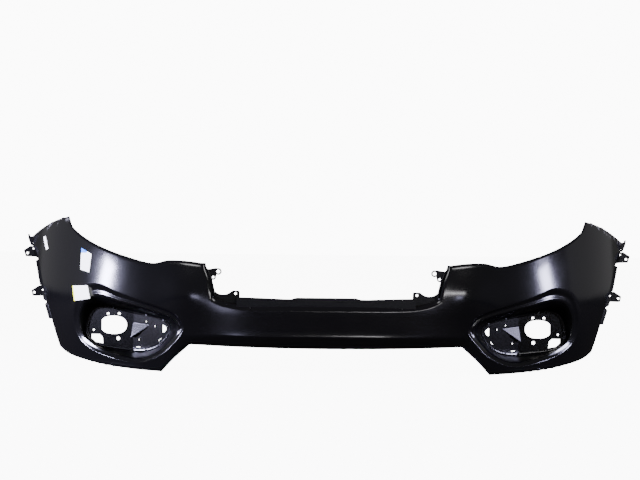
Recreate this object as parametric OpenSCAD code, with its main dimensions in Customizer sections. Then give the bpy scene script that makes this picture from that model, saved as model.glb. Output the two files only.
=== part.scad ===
// Front bumper cover of a small off-road style car, bare, as it comes off its carrier.
// +X runs across the car, +Z is up and the show face looks along -Y. Sizes are in millimetres.

/* [Overall] */
// Width of the skin over its two rear upper corners
cover_w = 1700; // [1600:2:1900]
// Height of the skin from its lowest corner to the wing peaks
cover_h = 409; // [380:1:450]
// Depth of the skin from the nose to its rear upper corners
cover_d = 500; // [420:2:620]
// Wall thickness of the moulded skin
skin_t = 3; // [2.4:0.1:4]

/* [Centre bar] */
// Height of the sharp line where the bar turns under
crease_z = 96; // [88:1:110]
// How far the bar runs back for each millimetre below that line
under_slope = 0.55; // [0.2:0.05:0.8]

/* [Fog lamp pockets] */
// How far behind the nose the flat lamp pad stands
pad_y = 198; // [190:1:206]
// Turn of the inboard half of the floor towards the middle of the car, in degrees
floor_turn = 32; // [20:1:38]
// Width of the flange that the floor panel seats on
seat_flange = 8; // [7:0.5:10]
// Thickness of the floor panel
insert_t = 2.8; // [2:0.1:3.6]
// Width of the lamp opening
lamp_w = 73; // [60:1:80]
// Height of the lamp opening
lamp_h = 50; // [46:1:58]
// Distance between the two lamp screw holes above the lamp opening
lamp_screw_gap = 30; // [26:1:36]
// Radius of the two lamp screw holes
lamp_screw_r = 4; // [2.5:0.1:4.5]
// Radius of the small screw holes in the floor panel
insert_hole_r = 2.7; // [2:0.1:3.5]
// Radius of the larger locating hole below the lamp opening
locator_r = 4.8; // [3:0.1:5.5]
// How far the lit facet beside the lamp stands out
facet_rise = 13; // [6:1:16]

/* [Arch retainers] */
// Thickness of the retainer strips and their tabs
retainer_t = 2.6; // [2:0.1:3.5]
// Radius of the hole near each tab's tip
tab_hole_r = 3.4; // [3:0.1:5]
// Radius of the hole at each tab's root
root_hole_r = 2.2; // [2:0.1:3.5]

/* [Grille brackets and rail] */
// Thickness of the grille brackets and the rail
bracket_t = 3; // [2.4:0.1:4]
// Radius of the eye at the end of the upper arm
eye_r = 4.8; // [4:0.1:6]
// Radius of the small hole behind the eye
arm_hole_r = 3.1; // [2.5:0.1:4]
// Radius of the hole in the lower tab
lower_hole_r = 3.3; // [2.5:0.1:4]
// Height that the middle of the rail stands above its ends
rail_step = 4; // [2:0.5:7]

/* [Fasteners] */
// Radius of the push rivets' shanks
rivet_r = 2.2; // [1.8:0.1:2.6]
// Gap round a rivet's shank
rivet_gap = 0.15; // [0.05:0.05:0.3]
// Radius of the liner screw holes in the lower lip
lip_hole_r = 3.2; // [2.5:0.1:4]
// Gap between pieces that seat on each other
seat_gap = 0.4; // [0.2:0.1:0.8]

/* [Labels] */
// Thickness of the paper labels
label_t = 0.3; // [0.2:0.1:0.5]

/* [Hidden] */

// The outlines below are drawn for this width, height and depth, and follow the real ones.
ref_w = 1700;
ref_h = 409;
ref_d = 500;
sx = cover_w / ref_w;
sy = cover_d / ref_d;
sz = cover_h / ref_h;

// ---- Show surface: how far back it lies at a place in the front view ----
half_span = 900;
nose_depth = 760;
plan_power = 3.2;
waist_z = 230;
tuck_depth = 55;
lean_z = 150;
lean_rate = 0.0008;
bar_half = 352;
shoulder = [372, 214];
shoulder_rise = 9;
shoulder_reach = 62;

function soft_step(a, b, v) = let (t = max(0, min(1, (v - a) / (b - a)))) t * t * (3 - 2 * t);
function tuck(z) = tuck_depth * pow(max(0, (waist_z - z) / waist_z), 2);
function plan_back(x, z) =
    nose_depth * (1 - sqrt(1 - pow(min(abs(x) / (half_span - tuck(z)), 0.999), plan_power)));
function lean_back(z) = lean_rate * pow(max(0, z - lean_z), 2);
function turn_under(x, z) =
    under_slope * max(0, crease_z - z) * (1 - soft_step(bar_half - 30, bar_half + 60, abs(x)));
function shoulder_bulge(x, z) =
    let (d = norm([abs(x) - shoulder[0], z - shoulder[1]]) / shoulder_reach)
    shoulder_rise * exp(-d * d);
function depth_ref(x, z) =
    plan_back(x, z) + lean_back(z) + turn_under(x, z) - shoulder_bulge(x, z);
function depth_at(x, z) = sy * depth_ref(x / sx, z / sz);
function on_skin(p) = [p[0], depth_at(p[0], p[1]), p[1]];
function skin_normal(x, z) =
    let (gx = depth_at(x + 1, z) - depth_at(x - 1, z), gz = depth_at(x, z + 1) - depth_at(x, z - 1),
         n = [-gx / 2, 1, -gz / 2])
    n / norm(n);
function off_skin(p, d) = on_skin(p) + d * skin_normal(p[0], p[1]);

// ---- Smooth curves through a few points ----
function spline(a, b, c, d, t) =
    0.5 * ((2 * b) + (c - a) * t + (2 * a - 5 * b + 4 * c - d) * t * t
           + (3 * b - a - 3 * c + d) * t * t * t);
function open_pt(c, s) =
    let (n = len(c) - 1, i = min(floor(s), n - 1), t = s - i,
         a = i > 0 ? c[i - 1] : 2 * c[0] - c[1], d = i < n - 1 ? c[i + 2] : 2 * c[n] - c[n - 1])
    spline(a, c[i], c[i + 1], d, t);
function loop_pt(c, s) =
    let (n = len(c), i = floor(s), t = s - i)
    spline(c[(i - 1 + n) % n], c[(i + n) % n], c[(i + 1 + n) % n], c[(i + 2 + n) % n], t);
function run_pt(c, f) = open_pt(c, f * (len(c) - 1));
function placed(p) = [p[0] * sx, p[1] * sz];

// ---- Outline of one wing in the front view, as runs that meet in corners ----
seam_run = [[360, 72], [337, 112], [317, 155], [295, 200]];
grille_run = [[295, 200], [300, 222], [306, 246], [321, 287]];
top_run = [[321, 287], [370, 293], [420, 294], [464, 286], [525, 299], [598, 322], [665, 352],
           [700, 380], [713, 407]];
peak_run = [[713, 407], [753, 396], [795, 377], [850, 344]];
arch_run = [[850, 344], [828, 312], [813, 280], [797, 226], [783, 184], [764, 128], [747, 75],
            [737, 47]];
hem_run = [[737, 47], [718, 34], [685, 23], [608, 10], [520, 2], [435, -2]];
diagonal_run = [[435, -2], [403, 33], [360, 72]];
// Each run: its points, its steps, and the stretch of the pocket's contour that it faces.
wing_runs = [
    [seam_run, 10, -1.0, 1.0], [grille_run, 6, 1.0, 2.2], [top_run, 17, 2.2, 5.8],
    [peak_run, 6, 5.8, 6.7], [arch_run, 11, 6.7, 8.4], [hem_run, 14, 8.4, 12.2],
    [diagonal_run, 5, 12.2, 13.0]
];

// Contours of the pocket: the outer crease, the inner crease and the seat of the floor panel.
rim = [[378, 112], [388, 140], [418, 162], [501, 187], [557, 204], [615, 224], [672, 205],
       [698, 145], [690, 85], [652, 50], [580, 28], [500, 18], [440, 42], [400, 78]];
brow = [[389, 112], [399, 136], [428, 151], [501, 171], [557, 184], [611, 197], [652, 186],
        [676, 140], [670, 88], [642, 60], [580, 38], [504, 28], [448, 48], [410, 81]];
seat = [[418, 108], [429, 127], [462, 138], [509, 148], [560, 158], [603, 163], [636, 154],
        [652, 120], [653, 85], [632, 60], [585, 48], [511, 41], [463, 52], [432, 77]];
brow_drop = 9;
fold_x = 527;

function floor_y(x) =
    let (xf = fold_x * sx) (x > xf ? pad_y : pad_y - (xf - x) * tan(floor_turn));
function toward_middle(p, mid, d) = p + (mid - p) * d / norm(mid - p);
pocket_mid = [545 * sx, 102 * sz];

// ---- Grid of the wing: rows run from the outline in to the window for the floor panel ----
outer_rows = 7;
brow_rows = 1;
wall_rows = 4;
row_count = outer_rows + brow_rows + wall_rows + 1;
function run_columns(r) =
    [for (i = [0 : r[1] - 1]) let (f = i / r[1]) [placed(run_pt(r[0], f)), r[2] + f * (r[3] - r[2])]];
wing_columns = [for (r = wing_runs) each run_columns(r)];
column_count = len(wing_columns);
seam_steps = wing_runs[0][1];

function contour(c, s) = placed(loop_pt(c, s));
function wing_pt(col, row) =
    let (edge = wing_columns[col][0], s = wing_columns[col][1], a = contour(rim, s),
         b = contour(brow, s), c = contour(seat, s), w = toward_middle(c, pocket_mid, seat_flange),
         yb = depth_at(b[0], b[1]) + brow_drop, yc = floor_y(c[0]),
         k = row - outer_rows - brow_rows, f = k / wall_rows, g = f * f * (3 - 2 * f))
    row <= outer_rows ? on_skin(edge + (a - edge) * row / outer_rows)
    : row == outer_rows + brow_rows ? [b[0], yb, b[1]]
    : row < row_count ? [b[0] + (c[0] - b[0]) * f, yb + (yc - yb) * g, b[1] + (c[1] - b[1]) * f]
    : [w[0], floor_y(w[0]), w[1]];
wing_pts = [for (r = [0 : row_count]) for (c = [0 : column_count - 1]) wing_pt(c, r)];
function wing_at(c, r) = wing_pts[r * column_count + (c + column_count) % column_count];

function grid_normal(c, r) =
    let (dc = wing_at(c + 1, r) - wing_at(c - 1, r),
         dr = wing_at(c, min(r + 1, row_count)) - wing_at(c, max(r - 1, 0)), n = cross(dc, dr))
    n / norm(n);
function wing_normal(c, r) =
    let (p = wing_at(c, r)) r < outer_rows ? skin_normal(p[0], p[2]) : grid_normal(c, r);

// ---- The skin: a bar grid between two wing grids, with a back wall at the skin's thickness ----
bar_steps = 14;
bar_cols = 2 * bar_steps + 1;
bar_rows = seam_steps + 1;
bar_low_mid = 64;
bar_top_mid = 178;
corner_power = 6;
function bar_pt(i, j) =
    let (u = i / bar_steps, q = run_pt(seam_run, j / seam_steps), a = abs(u),
         mid_z = bar_low_mid + (bar_top_mid - bar_low_mid) * j / seam_steps,
         z = mid_z + (q[1] - mid_z) * pow(a, 2 + corner_power * j / seam_steps))
    on_skin(placed([u * q[0], z]));
bar_pts = [for (i = [-bar_steps : bar_steps]) for (j = [0 : bar_rows - 1]) bar_pt(i, j)];
bar_count = bar_cols * bar_rows;
wing_count = len(wing_pts);
function flip_x(p) = [-p[0], p[1], p[2]];
function back_of(p, n) = p + skin_t * n;
front_pts = concat(bar_pts, wing_pts, [for (p = wing_pts) flip_x(p)]);
wing_back = [for (r = [0 : row_count]) for (c = [0 : column_count - 1])
             back_of(wing_at(c, r), wing_normal(c, r))];
back_pts = concat([for (p = bar_pts) back_of(p, skin_normal(p[0], p[2]))],
                  wing_back, [for (p = wing_back) flip_x(p)]);
face_count = len(front_pts);

function bar_id(i, j) = (i + bar_steps) * bar_rows + j;
function wing_id(side, c, r) =
    let (k = c % column_count)
    r == 0 && k <= seam_steps ? bar_id(side * bar_steps, k)
    : bar_count + (side > 0 ? 0 : wing_count) + r * column_count + k;
function quad(a, b, c, d) = [[a, b, c], [a, c, d]];
function turned(f) = [f[2], f[1], f[0]];
bar_faces = [for (i = [-bar_steps : bar_steps - 1]) for (j = [0 : bar_rows - 2])
             each quad(bar_id(i, j), bar_id(i, j + 1), bar_id(i + 1, j + 1), bar_id(i + 1, j))];
function wing_quad(side, c, r) =
    quad(wing_id(side, c, r), wing_id(side, c + 1, r), wing_id(side, c + 1, r + 1),
         wing_id(side, c, r + 1));
right_faces = [for (c = [0 : column_count - 1]) for (r = [0 : row_count - 1]) each wing_quad(1, c, r)];
left_faces = [for (c = [0 : column_count - 1]) for (r = [0 : row_count - 1])
              each [for (f = wing_quad(-1, c, r)) turned(f)]];
show_faces = concat(bar_faces, right_faces, left_faces);
hidden_faces = [for (f = show_faces) [f[2] + face_count, f[1] + face_count, f[0] + face_count]];
function wall(a, b) = quad(b, a, a + face_count, b + face_count);
edge_faces = concat(
    [for (i = [-bar_steps : bar_steps - 1]) each wall(bar_id(i + 1, 0), bar_id(i, 0))],
    [for (i = [-bar_steps : bar_steps - 1])
     each wall(bar_id(i, bar_rows - 1), bar_id(i + 1, bar_rows - 1))],
    [for (c = [seam_steps : column_count - 1]) each wall(wing_id(1, c, 0), wing_id(1, c + 1, 0))],
    [for (c = [seam_steps : column_count - 1]) each wall(wing_id(-1, c + 1, 0), wing_id(-1, c, 0))],
    [for (c = [0 : column_count - 1])
     each wall(wing_id(1, c + 1, row_count), wing_id(1, c, row_count))],
    [for (c = [0 : column_count - 1])
     each wall(wing_id(-1, c, row_count), wing_id(-1, c + 1, row_count))]);

// ---- Fixings: places in the front view, and the holes and bosses that follow them ----
rivet_fn = 32;
boss_wall = 2.6;
boss_bury = 2;
hole_r = rivet_r + rivet_gap;
boss_r = hole_r + boss_wall;
bracket_corner = placed([321, 287]);
bracket_room = 3;
bracket_y = depth_at(bracket_corner[0], bracket_corner[1]) + skin_t + bracket_room;
rail_y = depth_at(228 * sx, 172 * sz) + skin_t + 1;
lower_hole = [240, 208];
eye_hole = [286, 266];
arm_hole = [299.5, 251];
datum = [0, bracket_y, lower_hole[1] * sz];

insert_rivet_s = [1.2, 2.5, 4.5, 7.4, 9.6, 11.5, 12.6];
bracket_rivets = [[316, 206], [331, 266]];
rail_rivet_x = [-200, -105, 0, 105, 200];
rail_rivet_z = 171;
lip_holes = [[575, 12], [608, 12]];
retainer_rivet_f = [0.12, 0.36, 0.62];

module sided(side) mirror([side < 0 ? 1 : 0, 0, 0]) children();
module back_rod(p, y0, y1, r)
    translate([p[0], y0, p[1]]) rotate([-90, 0, 0]) cylinder(r = r, h = y1 - y0, $fn = rivet_fn);
module along(p, n) translate(p) rotate([0, acos(n[2]), atan2(n[1], n[0])]) children();

// The flange and the floor panel share a flat pad outboard and a turned leaf inboard.
panel_set = skin_t + seat_gap;
panel_fold = [fold_x * sx - panel_set * tan(floor_turn / 2), pad_y + panel_set];
function on_pad(p) = p[0] > fold_x * sx;
module leaf_frame() translate([panel_fold[0], panel_fold[1], 0]) rotate([0, 0, floor_turn]) children();
function leaf_pt(p) = [(p[0] - panel_fold[0]) / cos(floor_turn), p[1]];
function rivet_place(s) = toward_middle(contour(seat, s), pocket_mid, seat_flange / 2);
module at_insert_rivet(s) {
    p = rivet_place(s);
    if (on_pad(p)) translate([p[0], panel_fold[1], p[1]]) rotate([-90, 0, 0]) children();
    else leaf_frame() translate([leaf_pt(p)[0], 0, p[1]]) rotate([-90, 0, 0]) children();
}

function arch_edge(f) = on_skin(placed(run_pt(arch_run, f)));
function arch_inner(f, d) = let (p = placed(run_pt(arch_run, f))) [p[0] - d, p[1]];
retainer_gap = 2.6;
retainer_set = skin_t + retainer_gap;
rivet_inset = 2.7;

module skin_bosses() {
    for (p = bracket_rivets)
        back_rod(placed(p), depth_at(p[0] * sx, p[1] * sz) + boss_bury, bracket_y - seat_gap, boss_r);
    for (f = retainer_rivet_f) {
        p = arch_inner(f, rivet_inset);
        along(off_skin(p, boss_bury), skin_normal(p[0], p[1]))
            cylinder(r = boss_r, h = retainer_set - boss_bury - seat_gap / 2, $fn = rivet_fn);
    }
}
module skin_holes() {
    for (s = insert_rivet_s)
        at_insert_rivet(s) translate([0, 0, -2 * panel_set]) cylinder(r = hole_r, h = 2 * panel_set, $fn = rivet_fn);
    for (p = bracket_rivets)
        back_rod(placed(p), depth_at(p[0] * sx, p[1] * sz) + boss_bury, bracket_y + 1, hole_r);
    for (f = retainer_rivet_f) {
        p = arch_inner(f, rivet_inset);
        along(off_skin(p, boss_bury / 2), skin_normal(p[0], p[1]))
            cylinder(r = hole_r, h = retainer_set, $fn = rivet_fn);
    }
    for (p = lip_holes)
        back_rod(placed(p), depth_at(p[0] * sx, p[1] * sz) - 20, depth_at(p[0] * sx, p[1] * sz) + 30, lip_hole_r);
}
module rail_bosses(r, bury, y1)
    for (x = rail_rivet_x)
        back_rod(placed([x, rail_rivet_z]), depth_at(x * sx, rail_rivet_z * sz) + bury, y1, r);

module cover_skin() {
    color([0.11, 0.11, 0.13])
        difference() {
            union() {
                polyhedron(points = concat(front_pts, back_pts),
                           faces = concat(show_faces, hidden_faces, edge_faces));
                for (side = [-1, 1]) sided(side) skin_bosses();
                rail_bosses(boss_r, boss_bury, rail_y - seat_gap);
            }
            for (side = [-1, 1]) sided(side) skin_holes();
            rail_bosses(hole_r, boss_bury, rail_y + 1);
        }
}

// ---- Floor panel of a fog lamp pocket ----
lamp_mid = [580, 112];
lamp_chord = 4;
lamp_power = 2.3;
collar_w = 5;
collar_rise = 3;
boss_rise = 1.6;
lug_wall = 2;
lamp_screw_z = 142;
locator = [567, 75];
side_screw = [634, 98];
leaf_screws = [[464, 112], [489, 123], [509, 73]];
corner_slot = [[608, 61], [610, 79], [618, 86], [640, 86], [640, 75], [629, 65]];
end_slot = [[443, 117], [437, 115], [431, 110], [431, 104], [436, 97], [443, 96]];
snap_slots = [[512, 52.5, 15, 2, 0], [450, 76, 13, 2.2, -44]];
facet = [[480, 114], [526, 118], [525, 79]];

function round_pt(a, w, h) =
    [sign(cos(a)) * w * pow(abs(cos(a)), 2 / lamp_power), sign(sin(a)) * h * pow(abs(sin(a)), 2 / lamp_power)];
module lamp_outline(grow)
    translate(placed(lamp_mid))
        polygon([for (a = [0 : 7.5 : 359])
                 let (p = round_pt(a, lamp_w / 2 + grow, lamp_h / 2 + grow))
                 [min(p[0], lamp_w / 2 - lamp_chord + grow), p[1]]]);
module facing(t) translate([0, t, 0]) rotate([90, 0, 0]) linear_extrude(t) children();
module panel_outline() polygon([for (s = [0 : 0.5 : 13.5]) contour(seat, s)]);
module leaf_outline() polygon([for (s = [0 : 0.5 : 13.5]) leaf_pt(contour(seat, s))]);
module slot_shape(q)
    translate(placed([q[0], q[1]])) rotate(q[4]) {
        square([q[2] - q[3], q[3]], center = true);
        for (m = [-1, 1]) translate([m * (q[2] - q[3]) / 2, 0]) circle(d = q[3], $fn = 24);
    }
lamp_screws = [for (m = [-1, 1]) [lamp_mid[0] * sx + m * lamp_screw_gap / 2, lamp_screw_z * sz]];
pad_holes = concat([for (p = lamp_screws) [p, lamp_screw_r]],
                   [[placed(locator), locator_r], [placed(side_screw), insert_hole_r]]);
leaf_holes = [for (p = leaf_screws) [leaf_pt(placed(p)), insert_hole_r]];

module pad_plate() {
    difference() {
        union() {
            facing(insert_t) intersection() {
                panel_outline();
                translate([panel_fold[0], 0]) square([400, 400]);
            }
            translate([0, -collar_rise, 0]) facing(collar_rise + 1) lamp_outline(collar_w);
            for (h = pad_holes) back_rod(h[0], -boss_rise, 1, h[1] + lug_wall);
        }
        translate([0, -collar_rise - 1, 0]) facing(insert_t + collar_rise + 2) lamp_outline(0);
        for (h = pad_holes) back_rod(h[0], -boss_rise - 1, insert_t + 1, h[1]);
        translate([0, -1, 0]) facing(insert_t + 2) polygon([for (p = corner_slot) placed(p)]);
    }
}
module leaf_slot(q) {
    p = leaf_pt(placed([q[0], q[1]]));
    slot_shape([p[0] / sx, p[1] / sz, q[2], q[3], q[4]]);
}
module leaf_plate() {
    difference() {
        union() {
            facing(insert_t) intersection() {
                leaf_outline();
                translate([-400, 0]) square([400 + insert_t / 3, 400]);
            }
            for (h = leaf_holes) back_rod(h[0], -boss_rise, 1, h[1] + lug_wall);
            lit_facet();
        }
        for (h = leaf_holes) back_rod(h[0], -boss_rise - 1, insert_t + 1, h[1]);
        translate([0, -1, 0]) facing(insert_t + 2) {
            polygon([for (p = end_slot) leaf_pt(placed(p))]);
            for (q = snap_slots) leaf_slot(q);
        }
    }
}
module lit_facet() {
    f = [for (p = facet) leaf_pt(placed(p))];
    bury = 0.6;
    heel = 1.5;
    polyhedron(points = [[f[0][0], bury, f[0][1]], [f[1][0], bury, f[1][1]], [f[2][0], bury, f[2][1]],
                         [f[0][0], -heel / 3, f[0][1]], [f[1][0], -heel, f[1][1]],
                         [f[2][0], -facet_rise, f[2][1]]],
               faces = [[2, 1, 0], [3, 4, 5], [4, 3, 0], [1, 4, 0], [5, 4, 1], [2, 5, 1], [3, 5, 2],
                        [0, 3, 2]]);
}
module pocket_insert(side) {
    color([0.07, 0.07, 0.08])
        sided(side) difference() {
            union() {
                translate([0, panel_fold[1], 0]) pad_plate();
                leaf_frame() leaf_plate();
            }
            for (s = insert_rivet_s)
                at_insert_rivet(s) translate([0, 0, -1]) cylinder(r = hole_r, h = insert_t + 2, $fn = rivet_fn);
        }
}

// ---- Rivets: a head behind, a shank, and a flared tip in front where they pass right through ----
head_r = 4.4;
head_h = 1.6;
flare = 0.7;
tip_h = 1;
module through_rivet(front, back) {
    translate([0, 0, front]) cylinder(r = rivet_r, h = back - front + head_h / 2, $fn = rivet_fn);
    translate([0, 0, back]) cylinder(r = head_r, h = head_h, $fn = rivet_fn);
    translate([0, 0, front - tip_h]) cylinder(r1 = rivet_r, r2 = rivet_r + flare, h = tip_h, $fn = rivet_fn);
}
module blind_rivet(y0, y1, len_in) {
    translate([0, 0, y0 - len_in])
        cylinder(r = rivet_r, h = y1 - y0 + len_in + head_h / 2, $fn = rivet_fn);
    translate([0, 0, y1]) cylinder(r = head_r, h = head_h, $fn = rivet_fn);
}
module insert_rivets(side)
    color([0.2, 0.2, 0.21])
        sided(side) for (s = insert_rivet_s)
            at_insert_rivet(s) through_rivet(-panel_set, insert_t);
blind_depth = 2.6;
module bracket_rivet_set(side)
    color([0.2, 0.2, 0.21])
        sided(side) for (p = bracket_rivets)
            translate([p[0] * sx, 0, p[1] * sz]) rotate([-90, 0, 0])
                blind_rivet(bracket_y, bracket_y + bracket_t, blind_depth);
module rail_rivets()
    color([0.2, 0.2, 0.21])
        for (x = rail_rivet_x)
            translate([x * sx, 0, rail_rivet_z * sz]) rotate([-90, 0, 0])
                blind_rivet(rail_y, rail_y + bracket_t, blind_depth);
module retainer_rivets(side)
    color([0.2, 0.2, 0.21])
        sided(side) for (f = retainer_rivet_f) {
            p = arch_inner(f, rivet_inset);
            along(on_skin(p), skin_normal(p[0], p[1]))
                blind_rivet(retainer_set, retainer_set + retainer_t + seat_gap, blind_depth);
        }

// ---- Strips that follow an edge: rings of four points along the edge, closed at both ends ----
function box_faces(n) = concat(
    [[0, 1, 2], [0, 2, 3]],
    [for (i = [0 : n - 2]) for (k = [0 : 3])
     let (a = 4 * i + k, b = 4 * i + (k + 1) % 4) each quad(b, a, a + 4, b + 4)],
    [[4 * n - 1, 4 * n - 2, 4 * n - 3], [4 * n - 1, 4 * n - 3, 4 * n - 4]]);
module ring_bar(rings) polyhedron(points = [for (r = rings) each r], faces = box_faces(len(rings)));
function unit(v) = v / norm(v);
// A place beyond the edge of the skin, level with the surface and square to the edge.
function beyond(run, f, w, d) =
    let (p = placed(run_pt(run, f)), e = on_skin(p), t = on_skin(placed(run_pt(run, f + 0.004))) - e,
         n = skin_normal(p[0], p[1]), o = unit(cross(n, t)), m = o[1] > 0 ? o : -o)
    e + m * w + n * d;

strip_steps = 30;
arch_from = 0.04;
arch_to = 0.73;
strip_in = 5;
strip_out = 4.5;
notches = [[0.225, 0.27], [0.47, 0.5], [0.655, 0.68]];
function notch_cut(f) = len([for (q = notches) if (f > q[0] && f < q[1]) 1]) > 0 ? 3 : 0;
function strip_ring(f) =
    let (p = arch_inner(f, strip_in), w = strip_out - notch_cut(f))
    [off_skin(p, retainer_set), off_skin(p, retainer_set + retainer_t),
     beyond(arch_run, f, w, retainer_set + retainer_t), beyond(arch_run, f, w, retainer_set)];

// The strip's lip turns outward from just beyond the skin's edge, with gaps where the liner clips in.
lip_from = 0.06;
lip_steps = 40;
lip_foot = 3;
lip_w = 12;
lip_lean = 0.15;
lip_gaps = [[0, 0.15, 5], [0.235, 0.275, 8], [0.475, 0.52, 8], [0.6, 0.625, 8]];
function lip_cut(f) = max([0, for (q = lip_gaps) if (f > q[0] && f < q[1]) q[2]]);
function lip_ring(f) =
    let (a = beyond(arch_run, f, lip_foot, retainer_set), w = lip_w - lip_cut(f),
         b = a + [w, lip_lean * w, 0], t = [0, retainer_t, 0])
    [a, a + t, b + t, b];

upper_tab = [[822, 289], [836, 290], [858, 291], [864, 309], [845, 321], [826, 319]];
upper_holes = [[853, 300.5, 1], [836, 313, 0]];
lower_tab = [[782, 184], [815, 183], [822, 184], [825, 199], [805, 212], [782, 212]];
lower_holes = [[817, 193, 1], [794, 200, 0]];
horn = [[838.6, 321], [844.5, 322], [849, 331], [853, 342], [854.5, 355], [849.5, 354], [847.5, 348],
        [841, 348], [839.8, 326]];
horn_f = 0.07;
tab_bite = 1;
upper_tab_f = 0.1;
lower_tab_f = 0.475;
function tab_y(f) = beyond(arch_run, f, strip_out, retainer_set)[1] - tab_bite;
module tab(outline, holes, y)
    difference() {
        translate([0, y, 0]) facing(retainer_t) polygon([for (p = outline) placed(p)]);
        for (h = holes)
            back_rod(placed(h), y - 1, y + retainer_t + 1, h[2] > 0 ? tab_hole_r : root_hole_r);
    }
module arch_retainer(side) {
    color([0.16, 0.16, 0.17])
        sided(side) {
            difference() {
                ring_bar([for (i = [0 : strip_steps])
                          strip_ring(arch_from + (arch_to - arch_from) * i / strip_steps)]);
                for (f = retainer_rivet_f) {
                    p = arch_inner(f, rivet_inset);
                    along(off_skin(p, retainer_set - 1), skin_normal(p[0], p[1]))
                        cylinder(r = hole_r, h = retainer_t + 2, $fn = rivet_fn);
                }
            }
            ring_bar([for (i = [0 : lip_steps])
                      lip_ring(lip_from + (arch_to - lip_from) * i / lip_steps)]);
            tab(upper_tab, upper_holes, tab_y(upper_tab_f));
            tab(lower_tab, lower_holes, tab_y(lower_tab_f));
            tab(horn, [], tab_y(horn_f));
        }
}

// ---- Grille brackets and the rail between them ----
function arc(c, r, a0, a1, n) = [for (i = [0 : n]) let (a = a0 + (a1 - a0) * i / n) c + r * [cos(a), sin(a)]];
bay_mid = [273, 236];
bay_r = 31;
eye_wall = 4.2;
web_t = 2.6;
web_steps = 10;
web_inset = 0.8;
bracket_outline = concat(
    [[338, 284], [312, 272], [292, 275.5]],
    arc(eye_hole, eye_r + eye_wall, 75, 300, 10),
    arc(arm_hole, arm_hole_r + eye_wall, 175, 270, 4),
    arc(bay_mid, bay_r, 15, -125, 12),
    [[248, 216], [231, 216], [229, 212], [229, 168], [270, 166], [318, 196], [342, 262]]);
module bracket_plate()
    difference() {
        translate([0, bracket_y, 0]) facing(bracket_t) polygon([for (p = bracket_outline) placed(p)]);
        back_rod(placed(eye_hole), bracket_y - 1, bracket_y + bracket_t + 1, eye_r);
        back_rod(placed(arm_hole), bracket_y - 1, bracket_y + bracket_t + 1, arm_hole_r);
        back_rod(placed(lower_hole), bracket_y - 1, bracket_y + bracket_t + 1, lower_hole_r);
        for (p = bracket_rivets)
            back_rod(placed(p), bracket_y - 1, bracket_y + bracket_t + 1, hole_r);
    }
function web_ring(f) =
    let (p = placed(run_pt(grille_run, f)), q = placed(run_pt(grille_run, f + 0.01)), t = unit(q - p),
         m = [-t[1], t[0]], a = p + m * web_inset, b = p + m * (web_inset + web_t),
         y = depth_at(p[0], p[1]) + 1.5)
    [[a[0], y, a[1]], [a[0], bracket_y + 0.5, a[1]], [b[0], bracket_y + 0.5, b[1]], [b[0], y + 1, b[1]]];
module grille_bracket(side)
    color([0.14, 0.14, 0.15])
        sided(side) {
            bracket_plate();
            ring_bar([for (i = [0 : web_steps]) web_ring(0.02 + 0.86 * i / web_steps)]);
        }

rail_end = 236;
rail_low = 164;
rail_top = 196;
rail_mid = 78;
hooks = [[-158, 4], [-90, 9], [35, 13], [88, 9], [158, 6]];
rail_rise = 4;
rail_outline = [[-rail_end, rail_low], [-rail_end, rail_top + rail_rise], [-190, 199], [-110, rail_top],
                [-rail_mid - 14, rail_top], [-rail_mid, rail_top + rail_step],
                [rail_mid, rail_top + rail_step], [rail_mid + 14, rail_top], [110, rail_top],
                [190, 199], [rail_end, rail_top + rail_rise], [rail_end, rail_low]];
module grille_rail()
    color([0.12, 0.12, 0.13])
        difference() {
            union() {
                translate([0, rail_y, 0]) facing(bracket_t)
                    polygon([for (p = rail_outline) placed(p)]);
                for (h = hooks)
                    translate([h[0] * sx - h[1] / 2, rail_y - 3, (rail_top - 6) * sz]) cube([h[1], 4, 2.4]);
                translate([-rail_end * sx, rail_y + bracket_t - 0.5, (rail_top - 5) * sz])
                    cube([2 * rail_end * sx, 14, 2.4]);
            }
            for (x = rail_rivet_x)
                back_rod(placed([x, rail_rivet_z]), rail_y - 1, rail_y + bracket_t + 1, hole_r);
        }

// ---- Hook strip behind the top edge of each wing ----
hook_f = [0.2, 0.5, 0.8];
hook_half = 0.035;
edge_steps = 28;
edge_gap = 1.6;
edge_t = 2;
function hook_out(f) = len([for (h = hook_f) if (abs(f - h) < hook_half) 1]) > 0 ? 3.5 : -3;
function edge_in(f) = let (p = placed(run_pt(peak_run, f))) [p[0] - 4, p[1] - 11];
function edge_up(f, w, d) =
    let (p = placed(run_pt(peak_run, f))) off_skin([p[0] + 0.35 * w, p[1] + w], d);
function edge_ring(f) =
    [off_skin(edge_in(f), skin_t + edge_gap), off_skin(edge_in(f), skin_t + edge_gap + edge_t),
     edge_up(f, hook_out(f), skin_t + edge_gap + edge_t), edge_up(f, hook_out(f), skin_t + edge_gap)];
module wing_edge_strip(side)
    color([0.3, 0.3, 0.31])
        sided(side)
            ring_bar([for (i = [0 : edge_steps]) edge_ring(0.08 + 0.84 * i / edge_steps)]);

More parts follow.
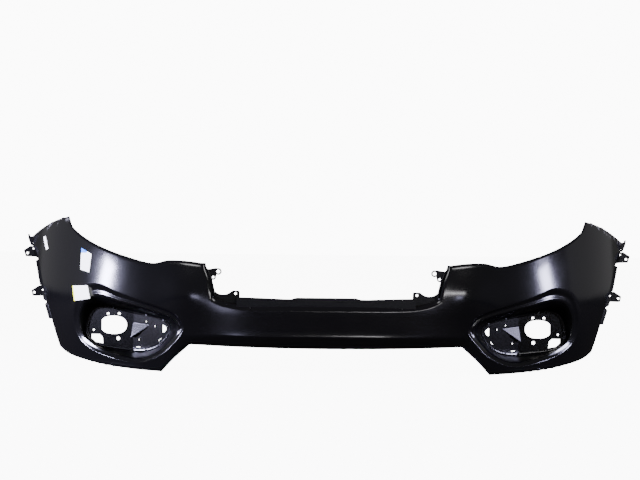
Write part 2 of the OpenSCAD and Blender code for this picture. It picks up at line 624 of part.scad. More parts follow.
// ---- Paper labels on the wing at -X ----
label_steps = 5;
label_lift = 0.1;
function mix2(q, u, v) = (1 - v) * ((1 - u) * q[0] + u * q[1]) + v * ((1 - u) * q[3] + u * q[2]);
function label_pt(q, i, j, d) = off_skin(placed(mix2(q, i / label_steps, j / label_steps)), -d);
module label(q, tint) {
    n = label_steps + 1;
    top = [for (i = [0 : n - 1]) for (j = [0 : n - 1]) label_pt(q, i, j, label_lift + label_t)];
    low = [for (i = [0 : n - 1]) for (j = [0 : n - 1]) label_pt(q, i, j, label_lift)];
    m = n * n;
    rim_ids = concat([for (i = [0 : n - 2]) i * n], [for (j = [0 : n - 2]) (n - 1) * n + j],
                     [for (i = [n - 1 : -1 : 1]) i * n + n - 1], [for (j = [n - 1 : -1 : 1]) j]);
    color(tint)
        sided(-1)
            polyhedron(points = concat(top, low),
                       faces = concat(
                           [for (i = [0 : n - 2]) for (j = [0 : n - 2])
                            each quad(i * n + j, i * n + j + 1, (i + 1) * n + j + 1, (i + 1) * n + j)],
                           [for (i = [0 : n - 2]) for (j = [0 : n - 2])
                            each quad(m + i * n + j, m + (i + 1) * n + j, m + (i + 1) * n + j + 1,
                                      m + i * n + j + 1)],
                           [for (k = [0 : len(rim_ids) - 1])
                            let (a = rim_ids[k], b = rim_ids[(k + 1) % len(rim_ids)])
                            each quad(a, b, m + b, m + a)]));
}
module strip_label() label([[777, 316], [785, 312], [797, 348], [789, 350]], [0.92, 0.92, 0.92]);
module part_label() label([[642, 256], [669, 263], [668, 321], [637, 306]], [0.92, 0.94, 0.96]);
module batch_label() label([[638, 186], [687, 177], [693, 218], [646, 221]], [0.95, 0.95, 0.9]);

module framed() translate(-datum) children();
framed() cover_skin();
framed() pocket_insert(-1);  // pocket_insert_left
framed() pocket_insert(1);  // pocket_insert_right
framed() arch_retainer(-1);  // arch_retainer_left
framed() arch_retainer(1);  // arch_retainer_right
framed() grille_bracket(-1);  // grille_bracket_left
framed() grille_bracket(1);  // grille_bracket_right
framed() grille_rail();
framed() wing_edge_strip(-1);  // wing_edge_strip_left
framed() wing_edge_strip(1);  // wing_edge_strip_right
framed() insert_rivets(-1);  // insert_rivets_left
framed() insert_rivets(1);  // insert_rivets_right
framed() bracket_rivet_set(-1);  // bracket_rivets_left
framed() bracket_rivet_set(1);  // bracket_rivets_right
framed() rail_rivets();
framed() retainer_rivets(-1);  // retainer_rivets_left
framed() retainer_rivets(1);  // retainer_rivets_right
framed() strip_label();
framed() part_label();
framed() batch_label();
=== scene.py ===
import math
import bpy
import numpy as np
from mathutils import Matrix, Vector


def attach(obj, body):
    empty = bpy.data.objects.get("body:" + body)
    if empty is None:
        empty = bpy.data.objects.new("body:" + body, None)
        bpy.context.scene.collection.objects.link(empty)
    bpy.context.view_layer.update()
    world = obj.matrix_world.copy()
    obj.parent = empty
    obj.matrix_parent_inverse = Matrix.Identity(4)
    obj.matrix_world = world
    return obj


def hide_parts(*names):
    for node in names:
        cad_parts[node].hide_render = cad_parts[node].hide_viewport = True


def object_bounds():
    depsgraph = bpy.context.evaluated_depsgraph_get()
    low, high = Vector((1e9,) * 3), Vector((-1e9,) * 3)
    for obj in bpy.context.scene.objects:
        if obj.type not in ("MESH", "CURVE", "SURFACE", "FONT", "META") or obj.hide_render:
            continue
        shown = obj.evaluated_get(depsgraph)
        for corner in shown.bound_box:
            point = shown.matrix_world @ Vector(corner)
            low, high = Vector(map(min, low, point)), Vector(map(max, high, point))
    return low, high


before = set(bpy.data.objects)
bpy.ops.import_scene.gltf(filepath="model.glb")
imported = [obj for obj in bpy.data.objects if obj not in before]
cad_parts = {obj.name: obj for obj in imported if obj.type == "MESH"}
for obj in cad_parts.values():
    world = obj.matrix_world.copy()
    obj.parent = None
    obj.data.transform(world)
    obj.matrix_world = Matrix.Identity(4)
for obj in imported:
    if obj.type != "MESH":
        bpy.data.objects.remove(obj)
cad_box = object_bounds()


# ---- Camera ----
# A long lens five metres in front of the cover, a little above it, on a head that leans slightly.
aim = Vector((0.0, -0.034, -0.0155))
camera_distance = 5.1
camera_elevation = math.radians(2.65)
head_lean = math.radians(0.62)
aim_right_of_centre = math.radians(0.2)
aim_below_centre = math.radians(1.8)
camera_data = bpy.data.cameras.new("studio_camera")
camera_data.lens = 109.1
camera_data.sensor_width = 36.0
camera = bpy.data.objects.new("studio_camera", camera_data)
bpy.context.scene.collection.objects.link(camera)
stand_off = Vector((0, -math.cos(camera_elevation), math.sin(camera_elevation)))
tilt = (Matrix.Rotation(math.radians(90) - camera_elevation, 4, "X")
        @ Matrix.Rotation(aim_below_centre, 4, "X") @ Matrix.Rotation(aim_right_of_centre, 4, "Y")
        @ Matrix.Rotation(head_lean, 4, "Z"))
camera.matrix_world = Matrix.Translation(aim + camera_distance * stand_off) @ tilt
bpy.context.scene.camera = camera


# ---- Studio: pale floor, pale surround and soft boxes ----
# The floor and the surround read as white paper where they are seen directly, and are much dimmer in
# reflections, which keeps the gloss black. Twelve soft boxes stand round the cover: five on each side,
# of which each wing mirrors one as an upright bright band, one behind and one strip in front.
def hex_linear(code):
    """An sRGB hex colour as linear red, green, blue and alpha."""
    parts = [int(code[i:i + 2], 16) / 255 for i in (1, 3, 5)]
    return [p / 12.92 if p <= 0.04045 else ((p + 0.055) / 1.055) ** 2.4 for p in parts] + [1.0]


def add(tree, kind, links=(), **settings):
    """Adds a node, sets its properties or input sockets by name, and links (source, input) pairs."""
    node = tree.nodes.new(kind)
    for name, value in settings.items():
        if hasattr(node, name):
            setattr(node, name, value)
        else:
            node.inputs[name.replace("_", " ")].default_value = value
    for source, target in links:
        tree.links.new(source, node.inputs[target])
    return node


def blank(name):
    """A new node material with nothing in it but its output."""
    finish = bpy.data.materials.new(name)
    finish.use_nodes = True
    finish.node_tree.nodes.clear()
    return finish, finish.node_tree, finish.node_tree.nodes.new("ShaderNodeOutputMaterial")


floor_level = cad_box[0][2]
floor_half = 14.0
floor_mesh = bpy.data.meshes.new("studio_floor")
floor_mesh.from_pydata([(-floor_half, -floor_half, floor_level), (floor_half, -floor_half, floor_level),
                        (floor_half, floor_half, floor_level), (-floor_half, floor_half, floor_level)],
                       [], [(0, 1, 2, 3)])
floor = bpy.data.objects.new("studio_floor", floor_mesh)
bpy.context.scene.collection.objects.link(floor)
paper, tree, out = blank("white_backdrop_paper")
seen = add(tree, "ShaderNodeLightPath")
glow = add(tree, "ShaderNodeEmission", Color=(1, 1, 1, 1), Strength=10.0)
shade = add(tree, "ShaderNodeBsdfDiffuse", Color=(0.35, 0.35, 0.36, 1))
lit = add(tree, "ShaderNodeAddShader", [(glow.outputs[0], 0), (shade.outputs[0], 1)])
dim_paper = add(tree, "ShaderNodeBsdfDiffuse", Color=(0.054, 0.05, 0.036, 1))
mixed = add(tree, "ShaderNodeMixShader", [(seen.outputs["Is Camera Ray"], 0), (dim_paper.outputs[0], 1),
                                          (lit.outputs[0], 2)])
tree.links.new(mixed.outputs[0], out.inputs[0])
floor_mesh.materials.append(paper)

world = bpy.data.worlds.new("studio_surround")
world.use_nodes = True
world.node_tree.nodes.clear()
tree = world.node_tree
seen = add(tree, "ShaderNodeLightPath")
white = add(tree, "ShaderNodeBackground", Color=(1, 1, 1, 1), Strength=11.0)
dim = add(tree, "ShaderNodeBackground", Color=hex_linear("#c2bfb8"), Strength=0.19)
mixed = add(tree, "ShaderNodeMixShader", [(seen.outputs["Is Camera Ray"], 0), (dim.outputs[0], 1),
                                          (white.outputs[0], 2)])
out = add(tree, "ShaderNodeOutputWorld", [(mixed.outputs[0], 0)])
bpy.context.scene.world = world


violet_white, plain_white = (0.70, 0.69, 1.0), (0.97, 0.96, 0.98)


def soft_box(name, place, target, width, height, power, tint=plain_white, lean=0.0):
    """A rectangular area light at a place, turned to face a target and leaning sideways."""
    data = bpy.data.lights.new(name, "AREA")
    data.shape = "RECTANGLE"
    data.size, data.size_y, data.energy = width, height, power
    data.color = tint
    light = bpy.data.objects.new(name, data)
    light.location = place
    turn = (Vector(target) - Vector(place)).to_track_quat("-Z", "Y").to_matrix()
    light.rotation_euler = (turn @ Matrix.Rotation(math.radians(lean), 3, "Z")).to_euler()
    bpy.context.scene.collection.objects.link(light)


# Each side's sign, the powers of its side box and facet box, and how far across and how high its
# shoulder box stands.
left_lights, right_lights = (-1, 190, 1.8, 1.25, 0.0), (1, 60, 5.4, 1.4, 0.22)
for side, power, facet_power, across, low in (left_lights, right_lights):
    soft_box(f"side_box_{side:+d}", (side * 2.75, -0.66, 0.40), (side * 0.6, 0.1, 0.05), 0.28, 0.60, power,
             violet_white, side * 12)
    soft_box(f"facet_box_{side:+d}", (side * 2.75, -0.75, 1.0), (side * 0.5, 0.12, -0.1), 0.35, 0.35,
             facet_power, violet_white)
    soft_box(f"side_wall_{side:+d}", (side * 4.4, 1.6, 0.9), (side * 0.5, 0.2, 0.0), 3.4, 2.2, 7)
    soft_box(f"shoulder_box_{side:+d}", (side * across, -4.0, low), (side * 0.35, 0.0, 0.0),
             0.6, 0.35, 6, violet_white)
    soft_box(f"top_box_{side:+d}", (side * 1.5, -2.3, 2.6), (side * 0.6, 0.1, -0.1), 0.8, 0.8, 26)
soft_box("back_box", (0.0, 4.5, 1.6), (0.0, 0.1, 0.0), 3.0, 0.8, 30)
soft_box("front_strip", (1.2, -4.6, 0.85), (0.2, 0.0, -0.1), 2.2, 0.3, 42)


# ---- Cover skin ----
# One injection-moulded shell of black polypropylene, 3 mm thick: a slim centre bar, two wings that
# sweep back to the wheel arches, and a stepped pocket in each wing whose flange holds a floor panel.
# Sizes are in millimetres. x starts at the centre plane, y at the bar's front and z close to the hem's
# lowest point. The datum is the frame's origin in them.
MM = 0.001
datum = np.array([0.0, 34.0323, 208.0])
skin_t = 3.0
# The sweep in plan, the tuck below the waist and the lean back above it.
half_span, nose_depth, plan_power = 900.0, 760.0, 3.2
waist_z, tuck_depth = 230.0, 55.0
lean_z, lean_rate = 150.0, 0.0008
# The crease along the bar, the slope under it, where that slope fades out, and the ledge above it.
crease_z, under_slope, bar_half = 96.0, 0.55, 352.0
crease_round, ledge_rise, ledge_reach = 1.0, 1.5, 5.0
slope_fade, ledge_fade = (bar_half - 30, bar_half + 60), (120, 320)
# The soft swell between each end of the grille bay and the pocket.
shoulder, shoulder_rise, shoulder_reach = (372.0, 214.0), 9.0, 62.0


def ease(a, b, v):
    """Runs from 0 at a to 1 at b, level at both ends."""
    t = np.clip((v - a) / (b - a), 0, 1)
    return t * t * (3 - 2 * t)


def depth(x, z):
    """How far back the show face lies: a superellipse sweep in plan, narrower below the waist,
    plus a lean back towards the top, the bar's turn under its rounded crease with a slight ledge
    above it, less a swell at the shoulder."""
    reach = half_span - tuck_depth * (np.maximum(0, waist_z - z) / waist_z) ** 2
    plan = nose_depth * (1 - np.sqrt(1 - np.minimum(np.abs(x) / reach, 0.999) ** plan_power))
    lean = lean_rate * np.maximum(0, z - lean_z) ** 2
    on_bar = 1 - ease(*slope_fade, np.abs(x))
    over = crease_round * np.logaddexp(0, (crease_z - z) / crease_round)
    ledge = ledge_rise * (1 - np.exp(-np.maximum(0, z - crease_z) / ledge_reach))
    under = under_slope * over * on_bar + ledge * (1 - ease(*ledge_fade, np.abs(x)))
    swell = shoulder_rise * np.exp(-((np.abs(x) - shoulder[0]) ** 2 + (z - shoulder[1]) ** 2)
                                   / shoulder_reach ** 2)
    return plan + lean + under - swell


def spline(points, s, closed=False):
    """Catmull-Rom curve through the points at parameters s, whole numbers falling on the points."""
    c = np.asarray(points, float)
    s = np.asarray(s, float)
    if not closed:
        c = np.vstack([2 * c[0] - c[1], c, 2 * c[-1] - c[-2]])
        i = np.minimum(np.floor(s).astype(int), len(c) - 4)
        a, b, d, e = c[i], c[i + 1], c[i + 2], c[i + 3]
    else:
        i, n = np.floor(s).astype(int), len(c)
        a, b, d, e = c[(i - 1) % n], c[i % n], c[(i + 1) % n], c[(i + 2) % n]
    t = (s - i)[:, None]
    return 0.5 * (2 * b + (d - a) * t + (2 * a - 5 * b + 4 * d - e) * t ** 2
                  + (3 * b - a - 3 * d + e) * t ** 3)


# The outline of one wing in front view, as runs that meet in corners, then the pocket's rim, the brow
# inside its step, and the seat of its floor panel.
seam_run = [(360, 72), (337, 112), (317, 155), (295, 200)]
grille_run = [(295, 200), (298.5, 222), (304.5, 246), (321, 287)]
top_run = [(321, 287), (370, 293), (420, 294), (464, 286), (525, 299), (598, 322), (665, 352),
           (700, 380), (713, 407)]
peak_run = [(713, 407), (753, 396), (795, 377), (850, 344)]
arch_run = [(850, 344), (828, 312), (813, 280), (797, 226), (783, 184), (764, 128), (747, 75), (737, 47)]
hem_run = [(737, 47), (718, 34), (685, 23), (608, 10), (520, 2), (435, -2)]
diagonal_run = [(435, -2), (403, 33), (360, 72)]
rim = [(378, 112), (388, 140), (418, 162), (501, 187), (557, 204), (615, 224), (669, 204),
       (690, 145), (681, 88), (645, 53), (578, 30), (500, 19), (440, 42), (400, 78)]
brow = [(389, 112), (399, 136), (428, 151), (501, 171), (557, 184), (611, 197), (652, 186),
        (672, 141), (663, 90), (632, 63), (578, 40), (504, 28), (448, 48), (410, 81)]
seat = [(418, 108), (429, 127), (462, 138), (509, 148), (560, 158), (603, 163), (636, 154),
        (652, 120), (653, 85), (632, 60), (585, 48), (511, 41), (463, 52), (432, 77)]
pocket_mid = np.array([545.0, 102.0])
# The lamp pad's depth, where the floor folds and by how much, the flange's width and the rim's step.
pad_y, fold_x, floor_turn, seat_flange = 198.0, 527.0, math.radians(32), 8.0
brow_drop = 10.0


def floor_depth(x):
    """The pocket's floor: flat behind the lamp, then turned forward towards the middle of the car."""
    return pad_y - np.maximum(0, fold_x - x) * math.tan(floor_turn)


def run_samples(run, steps):
    """Evenly spaced parameters along one run of the outline, its last point left to the next run."""
    return spline(run, np.arange(steps) / steps * (len(run) - 1))


# Each run with its steps and the stretch of the rim curves that it faces.
wing_runs = [(seam_run, 58, -1.0, 1.0), (grille_run, 26, 1.0, 2.2), (top_run, 74, 2.2, 5.8),
             (peak_run, 24, 5.8, 6.7), (arch_run, 46, 6.7, 8.4), (hem_run, 60, 8.4, 12.2),
             (diagonal_run, 24, 12.2, 13.0)]
edge = np.vstack([run_samples(run, steps) for run, steps, a, b in wing_runs])
facing = np.concatenate([a + (b - a) * np.arange(steps) / steps for run, steps, a, b in wing_runs])
seam_steps = wing_runs[0][1]
bar_low, bar_high = 64.0, 178.0

# The moulding rolls back along its outline: how far from the edge the roll starts, and how deep it is,
# at each run's two ends. At the rear corner it turns forward a little, which keeps it in the CAD's box.
outline_rolls = [(grille_run, (13, 8), (13, 7)), (top_run, (12, 4), (6, 2)), (peak_run, (5, 2), (4, -0.1)),
                 (arch_run, (4, -0.1), (4, 2)), (hem_run, (4, 2), (9, 5)), (diagonal_run, (9, 5), (8, 4))]
bar_top_roll, bar_low_roll = (13.0, 8.0, 1.25), (8.0, 4.0, 2.0)
wing_roll_power = 2.0
hem_flare, flare_reach = 3.2, 17.0
flare_start, flare_end = (445, 500), (660, 725)
# Rows of the pocket's wall, of the fillet at its foot and of its flange.
wall_rows, seat_rows, flange_rows = 15, 4, 2


def bar_plane(u, v):
    """Front-view places on the bar: u from centre to seam, v from lower to upper edge. The lower
    edge rises towards the seam with u^2 and the upper edge with u^8, which rounds the inner corner."""
    q = spline(seam_run, v * (len(seam_run) - 1))
    mid = bar_low + (bar_high - bar_low) * v
    uu = u[:, None]
    return np.stack([uu * q[None, :, 0], mid + (q[None, :, 1] - mid) * uu ** (2 + 6 * v)], -1)


def outline_samples():
    """Dense places along the outline of one half, each with its roll's reach, depth and power."""
    run_steps, bar_steps = 220, 200
    places, reach, drop, bow = [], [], [], []
    for run, first, last in outline_rolls:
        pts = run_samples(run, run_steps)
        places.append(pts)
        reach.append(np.linspace(first[0], last[0], len(pts)))
        drop.append(np.linspace(first[1], last[1], len(pts)))
        bow.append(np.full(len(pts), wing_roll_power))
    u = np.linspace(0, 1, bar_steps)
    for v, (w, d, b) in ((1.0, bar_top_roll), (0.0, bar_low_roll)):
        pts = bar_plane(u, np.array([v]))[:, 0]
        places.append(pts)
        reach.append(np.full(len(pts), w))
        drop.append(np.full(len(pts), d))
        bow.append(np.full(len(pts), b))
    return np.vstack(places), np.concatenate(reach), np.concatenate(drop), np.concatenate(bow)


hem_line = run_samples(hem_run, 80)[::-1]


def rolled(p):
    """Show face at front-view places p: its depth plus a roll that grows with a power of the
    nearness to the outline, less the flare of the hem, which grows with its square."""
    flat = p.reshape(-1, 2)
    places, reach, drop, bow = outline_samples()
    fall = np.zeros(len(flat))
    batch = 4000
    for start in range(0, len(flat), batch):
        part = np.abs(flat[start:start + batch] * (1, 0)) + flat[start:start + batch] * (0, 1)
        gap = np.sqrt(((part[:, None] - places[None]) ** 2).sum(-1))
        near = gap.argmin(1)
        nearness = np.clip(1 - gap[np.arange(len(part)), near] / reach[near], 0, 1)
        fall[start:start + batch] = drop[near] * nearness ** bow[near]
    ahead = np.interp(np.abs(flat[:, 0]), hem_line[:, 0], hem_line[:, 1])
    flare = hem_flare * np.clip(1 - (flat[:, 1] - ahead) / flare_reach, 0, 1) ** 2
    flare = flare * ease(*flare_start, np.abs(flat[:, 0])) * (1 - ease(*flare_end, np.abs(flat[:, 0])))
    y = depth(flat[:, 0], flat[:, 1]) + fall - flare
    return np.stack([flat[:, 0], y, flat[:, 1]], -1).reshape(p.shape[:-1] + (3,))


def bend(a, b, c, t):
    """Quadratic curve from a to c that is drawn towards b: the fillets between surfaces."""
    t = t[:, None, None]
    return (1 - t) ** 2 * a + 2 * t * (1 - t) * b + t ** 2 * c


# The rim's fillet, and how much it widens over the stretch of the rim between the two eases.
rim_fillet_r, rim_fillet_more, widens, narrows = 2.4, 8.0, (4.2, 6.2), (7.2, 9.4)
# How far the step's foot lies from rim to brow, and the stretch along the top where the step is full.
foot_share, high_start, high_end = 0.45, (-1.0, 1.0), (5.2, 6.6)
low_step, brow_lift = 0.55, 0.3
# Distances of the first rows from the edge, then how many rows follow and how far they are eased.
near_edge, middle_rows, row_ease = np.array([0, 1.0, 2.4, 4.2, 6.4, 9.0]), 22, 0.55


def wing_surface():
    """One wing as rows from its outline in to the pocket's window. Each row is a closed loop. The
    rows run along the skin, round the rim, down a small step, along a band, round the brow, down the
    wall and on to the flange."""
    a, b, c = (spline(k, facing, closed=True) for k in (rim, brow, seat))
    span = np.linalg.norm(a - edge, axis=1)
    rim_fillet = rim_fillet_r + rim_fillet_more * ease(*widens, facing) * (1 - ease(*narrows, facing))
    stop = 1 - rim_fillet / span
    even = np.linspace(0, 1, middle_rows)
    middle = ease(0, 1, even) * row_ease + even * (1 - row_ease)
    first = near_edge[-1] / span
    share = np.vstack([near_edge[:, None] / span, first + (stop - first) * middle[1:, None]])
    rows = [rolled(edge + (a - edge) * share[..., None])]
    rim_pt = np.stack([a[:, 0], depth(a[:, 0], a[:, 1]), a[:, 1]], -1)
    foot_xz = a + (b - a) * foot_share
    high = ease(*high_start, facing) - ease(*high_end, facing)
    step = brow_drop * (low_step + (1 - low_step) * high)
    foot = np.stack([foot_xz[:, 0], depth(foot_xz[:, 0], foot_xz[:, 1]) + step, foot_xz[:, 1]], -1)
    brow_y = depth(b[:, 0], b[:, 1]) + brow_drop * (1 - brow_lift * high)
    brow_pt = np.stack([b[:, 0], brow_y, b[:, 1]], -1)
    seat_pt = np.stack([c[:, 0], floor_depth(c[:, 0]), c[:, 1]], -1)
    inward = pocket_mid - c
    window = c + inward * seat_flange / np.linalg.norm(inward, axis=1)[:, None]
    window_pt = np.stack([window[:, 0], floor_depth(window[:, 0]), window[:, 1]], -1)

    def between(p, q, f):
        return p + (q - p) * f
    rows.append(bend(rows[0][-1], rim_pt, between(rim_pt, foot, 0.5), np.linspace(0, 1, 7)[1:]))
    rows.append(bend(rows[-1][-1], foot, between(foot, brow_pt, 0.35), np.linspace(0, 1, 5)[1:]))
    rows.append(between(foot, brow_pt, np.array([0.55, 0.75])[:, None, None]))
    f = np.linspace(0.1, 0.93, wall_rows + 1)[:, None, None]
    drop = 0.25 * f + 0.75 * f ** 2
    wall = np.concatenate([between(brow_pt[None, :, :1], seat_pt[None, :, :1], f),
                           between(brow_pt[None, :, 1:2], seat_pt[None, :, 1:2], drop),
                           between(brow_pt[None, :, 2:], seat_pt[None, :, 2:], f)], -1)
    rows.append(bend(rows[-1][-1], brow_pt, wall[0], np.linspace(0, 1, 6)[1:]))
    rows.append(wall[1:])
    rows.append(bend(wall[-1], seat_pt, between(seat_pt, window_pt, 0.3),
                     np.linspace(0, 1, seat_rows + 1)[1:]))
    rows.append(between(seat_pt, window_pt, np.linspace(0.6, 1.0, flange_rows)[:, None, None]))
    return np.concatenate(rows)


def grid_faces(ids, wrap):
    """Quads of a grid of vertex numbers, wrapped round its second axis where asked."""
    if wrap:
        ids = np.concatenate([ids, ids[:, :1]], 1)
    return np.stack([ids[:-1, :-1], ids[:-1, 1:], ids[1:, 1:], ids[1:, :-1]], -1).reshape(-1, 4)


def new_piece(name, verts, faces, finishes, slots, sharp=62.0):
    """A mesh object from places in millimetres, with a finish for each face and smooth shading
    broken at sharp edges."""
    mesh = bpy.data.meshes.new(name)
    mesh.from_pydata(((np.asarray(verts) - datum) * MM).tolist(), [], np.asarray(faces).tolist())
    for finish in finishes:
        mesh.materials.append(finish)
    mesh.polygons.foreach_set("material_index", np.asarray(slots, np.int32))
    mesh.shade_smooth()
    mesh.set_sharp_from_angle(angle=math.radians(sharp))
    piece = bpy.data.objects.new(name, mesh)
    bpy.context.scene.collection.objects.link(piece)
    return piece


# The screw hole in each wing's hem, and the rows that it lies between.
hem_hole, hem_hole_r = np.array([575.0, 12.0]), 3.2
hole_rows = (2, 5)


def pierce(wing):
    """Moves the corners of one column of cells near the hem straight out from the hole's centre to
    its circle, keeping their roll, and returns the column that is left open."""
    first, last = hole_rows
    mid = (wing[first + 1] + np.roll(wing[first + 1], -1, 0))[:, ::2] / 2
    column = int(np.abs(mid - hem_hole).sum(1).argmin())
    x, y, z = np.moveaxis(wing[first:last + 1, column:column + 2], -1, 0)
    arm = np.stack([x, z], -1) - hem_hole
    u, w = np.moveaxis(hem_hole + arm * hem_hole_r / np.linalg.norm(arm, axis=-1)[..., None], -1, 0)
    wing[first:last + 1, column:column + 2] = np.stack([u, y - depth(x, z) + depth(u, w), w], -1)
    return column


def skin_mesh():
    """The bar's grid and both wings, which share the places along the seams, with slot 1 for the
    faces of the pockets' walls."""
    bar_steps = 90
    v = np.arange(seam_steps + 1) / seam_steps
    half = bar_plane(np.linspace(0, 1, bar_steps + 1), v)
    plane = np.concatenate([half[:0:-1] * (-1, 1), half])
    bar = rolled(plane)
    wing = wing_surface()
    loops, around = wing.shape[:2]
    solid = np.ones((loops - 1, around), bool)
    solid[slice(*hole_rows), pierce(wing)] = False
    solid = solid.ravel()
    bar_ids = np.arange(bar.shape[0] * bar.shape[1]).reshape(bar.shape[:2])
    verts, faces = [bar.reshape(-1, 3)], [grid_faces(bar_ids, False)[:, ::-1]]
    slots = [np.zeros(len(faces[0]), int)]
    count = bar_ids.size
    row = np.arange(loops - 1)
    # Slot 1, on the pockets' walls, takes the darker copy of the plastic, which is painted shade.
    wall_end = loops - 1 - flange_rows - seat_rows
    on_wall = (row >= wall_end - wall_rows) & (row < wall_end)
    for side, last in ((1, -1), (-1, 0)):
        ids = np.arange(loops * around).reshape(loops, around) + count
        ids[0, :seam_steps + 1] = bar_ids[last]
        verts.append((wing * (side, 1, 1)).reshape(-1, 3))
        faces.append(grid_faces(ids, True)[solid, ::-side])
        slots.append(np.repeat(on_wall.astype(int), around)[solid])
        count += loops * around
    verts, faces = np.vstack(verts), np.vstack(faces)
    used = np.zeros(len(verts), bool)
    used[faces] = True
    number = np.cumsum(used) - 1
    return verts[used], number[faces], np.concatenate(slots)


def moulded(name, tint, low, high, grain_mm, ior=1.49):
    """Black engineering plastic from a textured tool: a fine grain, and gloss that varies a little.
    Real grain is a few tenths of a millimetre wide, and is drawn several times as coarse to show. Where
    the index of refraction is below a plastic's usual 1.49, it is matched to how little the part shines."""
    finish, tree, out = blank(name)
    where = add(tree, "ShaderNodeTexCoord").outputs["Object"]
    haze = add(tree, "ShaderNodeTexNoise", [(where, "Vector")], Scale=14.0, Detail=3.0)
    rough = add(tree, "ShaderNodeMapRange", [(haze.outputs["Fac"], "Value")])
    rough.inputs["To Min"].default_value = low
    rough.inputs["To Max"].default_value = high
    grain = add(tree, "ShaderNodeTexVoronoi", [(where, "Vector")], Scale=1000 / grain_mm)
    relief = add(tree, "ShaderNodeBump", [(grain.outputs["Distance"], "Height")], Strength=0.05,
                 Distance=0.0004)
    body = add(tree, "ShaderNodeBsdfPrincipled",
               [(rough.outputs[0], "Roughness"), (relief.outputs[0], "Normal")],
               Base_Color=hex_linear(tint), IOR=ior)
    tree.links.new(body.outputs[0], out.inputs[0])
    return finish


# Glossy black polypropylene, moulded against a polished steel tool: nearly black, with a clear,
# slightly uneven mirror and fine handling haze. Grey scuffs lie along the rear top edge.
# The scuffs' pitch and reach are in millimetres. They show where the noise passes the first limit, are
# full at the second, and add to the roughness.
scuff_pitch, scuff_reach, scuff_limits, scuff_rough = 16.0, 16.0, (0.52, 0.66), 0.4
gloss, tree, out = blank("moulded_gloss_polypropylene")
where = add(tree, "ShaderNodeTexCoord").outputs["Object"]
haze = add(tree, "ShaderNodeTexNoise", [(where, "Vector")], Scale=9.0, Detail=5.0, Roughness=0.6)
rough = add(tree, "ShaderNodeMapRange", [(haze.outputs["Fac"], "Value")])
rough.inputs["To Min"].default_value = 0.10
rough.inputs["To Max"].default_value = 0.19
near = add(tree, "ShaderNodeAttribute", attribute_name="rear_edge")
patches = add(tree, "ShaderNodeTexNoise", [(where, "Vector")], Scale=1000 / scuff_pitch, Detail=2.0)
spotted = add(tree, "ShaderNodeMapRange", [(patches.outputs["Fac"], "Value")],
              interpolation_type="SMOOTHSTEP")
spotted.inputs["From Min"].default_value, spotted.inputs["From Max"].default_value = scuff_limits
scuffed = add(tree, "ShaderNodeMath", [(spotted.outputs[0], 0), (near.outputs["Fac"], 1)],
              operation="MULTIPLY")
tone = add(tree, "ShaderNodeMixRGB", [(scuffed.outputs[0], "Fac")], Color1=hex_linear("#0c0c0e"),
           Color2=hex_linear("#6a6a66"))
worn = add(tree, "ShaderNodeMath", [(scuffed.outputs[0], 0), (rough.outputs[0], 2)],
           operation="MULTIPLY_ADD")
worn.inputs[1].default_value = scuff_rough
ripple = add(tree, "ShaderNodeTexNoise", [(where, "Vector")], Scale=16.0, Detail=1.0)
swell = add(tree, "ShaderNodeBump", [(ripple.outputs["Fac"], "Height")], Strength=0.12, Distance=0.002)
shell = add(tree, "ShaderNodeBsdfPrincipled",
            [(worn.outputs[0], "Roughness"), (tone.outputs[0], "Base Color"),
             (swell.outputs[0], "Normal")], IOR=1.49)
tree.links.new(shell.outputs[0], out.inputs[0])

# The pockets' walls carry a matt grain, which is an assumption, and a darker, weakly reflecting copy of the
# skin's plastic: painted shade that keeps the recesses dark beside the gloss.
painted_shade_wall = moulded("grained_pocket_polypropylene_painted_shade", "#060607", 0.38, 0.5, 1.6, 1.25)

verts, faces, slots = skin_mesh()
skin = new_piece("cover_skin_shell", verts, faces, (gloss, painted_shade_wall), slots)

# How near each place lies to the rear top edge, for the scuffs: full within 0.3 of their reach.
peak_line = run_samples(peak_run, 120)
front = np.abs(verts[:, ::2]) * (1, 0) + verts[:, ::2] * (0, 1)
gap = np.sqrt(((front[:, None] - peak_line[None]) ** 2).sum(-1)).min(1)
nearness = skin.data.attributes.new("rear_edge", "FLOAT", "POINT")
nearness.data.foreach_set("value", ease(scuff_reach, 0.3 * scuff_reach, gap))

wall = skin.modifiers.new("wall", "SOLIDIFY")
wall.thickness = skin_t * MM
wall.offset = -1.0
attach(skin, "root")
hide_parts("cover_skin")


def wear(finish, *nodes):
    """Gives the material to CAD nodes, whose shape stays as it is."""
    for name in nodes:
        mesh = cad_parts[name].data
        mesh.materials.clear()
        mesh.materials.append(finish)


# ---- Floor panels of the fog lamp pockets ----
# Injection-moulded ABS with a satin face. Each is riveted behind its pocket's flange, and its raised
# facet turns up towards the side light.
satin = moulded("satin_moulded_abs", "#070709", 0.13, 0.18, 2.0)
wear(satin, "pocket_insert_left", "pocket_insert_right")


# ---- Brackets, rail, retainers and edge strips ----
# Grained polypropylene, duller than the skin. The brackets, the rail and the retainers are riveted
# behind the skin's edges, and the edge strips stand just behind its rear top edges.
grained = moulded("grained_moulded_polypropylene", "#08080a", 0.35, 0.48, 2.4, 1.3)
wear(grained, "grille_bracket_left", "grille_bracket_right", "grille_rail", "arch_retainer_left",
     "arch_retainer_right")
edge_grey = moulded("scuffed_moulded_polypropylene", "#2a2a2b", 0.45, 0.6, 2.4)
wear(edge_grey, "wing_edge_strip_left", "wing_edge_strip_right")


# ---- Rivets ----
# Two-part push rivets of black nylon, smoother than the parts that they hold.
nylon = moulded("moulded_nylon", "#101011", 0.25, 0.4, 1.5)
wear(nylon, "insert_rivets_left", "insert_rivets_right", "bracket_rivets_left", "bracket_rivets_right",
     "rail_rivets", "retainer_rivets_left", "retainer_rivets_right")


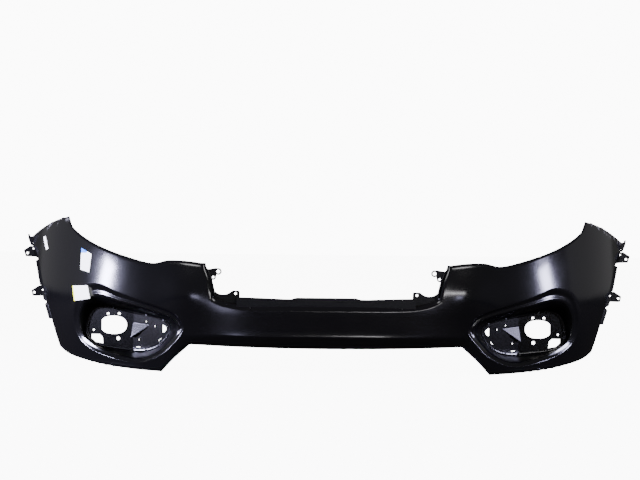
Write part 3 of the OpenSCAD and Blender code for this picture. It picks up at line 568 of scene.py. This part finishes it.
# ---- Paper labels ----
# Coated white paper. It is made to give off some light of its own, so that it looks as white as it
# does in strong light. One keeps a blue tab at its top and one a yellow edge. They carry no print.
label_glow = 3.0


def paper_label(name, across, up=-1.0, tip_hex="#ffffff"):
    """Label paper. The tip's colour shows where z is above up and x is below across, a limit in
    metres and how far it moves for each metre of z."""
    finish, tree, out = blank(name)
    where = add(tree, "ShaderNodeTexCoord").outputs["Object"]
    axes = add(tree, "ShaderNodeSeparateXYZ", [(where, "Vector")])
    fibre = add(tree, "ShaderNodeTexNoise", [(where, "Vector")], Scale=300.0, Detail=2.0)
    sheet = add(tree, "ShaderNodeMixRGB", [(fibre.outputs["Fac"], "Fac")],
                Color1=hex_linear("#f6f6fa"), Color2=hex_linear("#ffffff"))
    limit = add(tree, "ShaderNodeMath", [(axes.outputs["Z"], 0)], operation="MULTIPLY_ADD")
    limit.inputs[1].default_value, limit.inputs[2].default_value = across[1], across[0]
    beside = add(tree, "ShaderNodeMath", [(axes.outputs["X"], 0), (limit.outputs[0], 1)],
                 operation="LESS_THAN")
    above = add(tree, "ShaderNodeMath", [(axes.outputs["Z"], 0)], operation="GREATER_THAN")
    above.inputs[1].default_value = up
    both = add(tree, "ShaderNodeMath", [(beside.outputs[0], 0), (above.outputs[0], 1)],
               operation="MULTIPLY")
    face = add(tree, "ShaderNodeMixRGB", [(both.outputs[0], "Fac"), (sheet.outputs[0], "Color1")],
               Color2=hex_linear(tip_hex))
    body = add(tree, "ShaderNodeBsdfPrincipled", [(face.outputs[0], "Base Color"),
                                                  (face.outputs[0], "Emission Color")],
               Roughness=0.55, Emission_Strength=label_glow)
    tree.links.new(body.outputs[0], out.inputs[0])
    return finish


no_tip = (-9.0, 0.0)
wear(paper_label("coated_label_paper", across=no_tip), "strip_label")
wear(paper_label("coated_label_paper_blue_tab", across=(-0.6515, 0.0), up=0.1005,
                 tip_hex="#1f74e8"), "part_label")
wear(paper_label("coated_label_paper_yellow_edge", across=(-0.6880, -0.146),
                 tip_hex="#e6e81e"), "batch_label")
